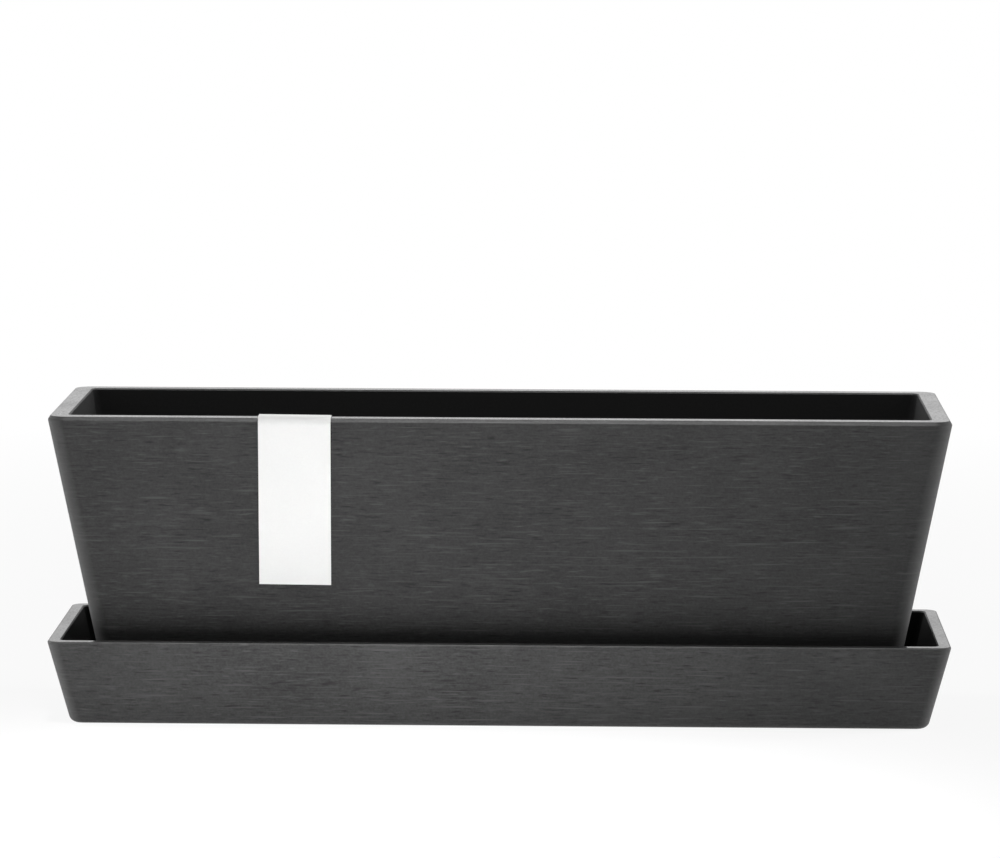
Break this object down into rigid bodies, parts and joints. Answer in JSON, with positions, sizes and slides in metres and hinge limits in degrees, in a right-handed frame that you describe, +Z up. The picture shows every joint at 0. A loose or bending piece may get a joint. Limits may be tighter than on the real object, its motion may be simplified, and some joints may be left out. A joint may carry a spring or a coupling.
{
  "type": "rectangular plant pot",
  "caption": "Long tapered rectangular plant pot with a wide flat rim, standing in a matching deep saucer, with rubber drain stoppers and a card label folded over the rim.",
  "frame": {"origin": "on the ground, under the middle of the saucer", "axes": "+X along the length, +Y towards the back, +Z up; the card label hangs on the front wall, on the -Y side"},
  "size_m": [0.5514, 0.1804, 0.1922],
  "materials": {
    "moulded_plastic": "dark grey, fine brushed lines along the walls",
    "black_rubber": "matt moulded rubber",
    "white_card": "smooth uncoated white card"
  },
  "bodies": {
    "saucer": {"saucer": "moulded_plastic"},
    "pot": {"pot_shell": "moulded_plastic"},
    "plug_left": {"drain_plug_left": "black_rubber"},
    "plug_middle": {"drain_plug_middle": "black_rubber"},
    "plug_right": {"drain_plug_right": "black_rubber"},
    "label": {"rim_label": "white_card"}
  },
  "joints": [
    {"name": "pot_lift", "type": "slide", "parent": "saucer", "child": "pot", "axis": [0, 0, 1], "range_m": [0, 0.12]},
    {"name": "plug_left_pull", "type": "slide", "parent": "pot", "child": "plug_left", "axis": [0, 0, 1], "range_m": [0, 0.06]},
    {"name": "plug_middle_pull", "type": "slide", "parent": "pot", "child": "plug_middle", "axis": [0, 0, 1], "range_m": [0, 0.06]},
    {"name": "plug_right_pull", "type": "slide", "parent": "pot", "child": "plug_right", "axis": [0, 0, 1], "range_m": [0, 0.06]},
    {"name": "label_lift", "type": "slide", "parent": "pot", "child": "label", "axis": [0, -0.225, 0.9744], "range_m": [0, 0.13]}
  ]
}
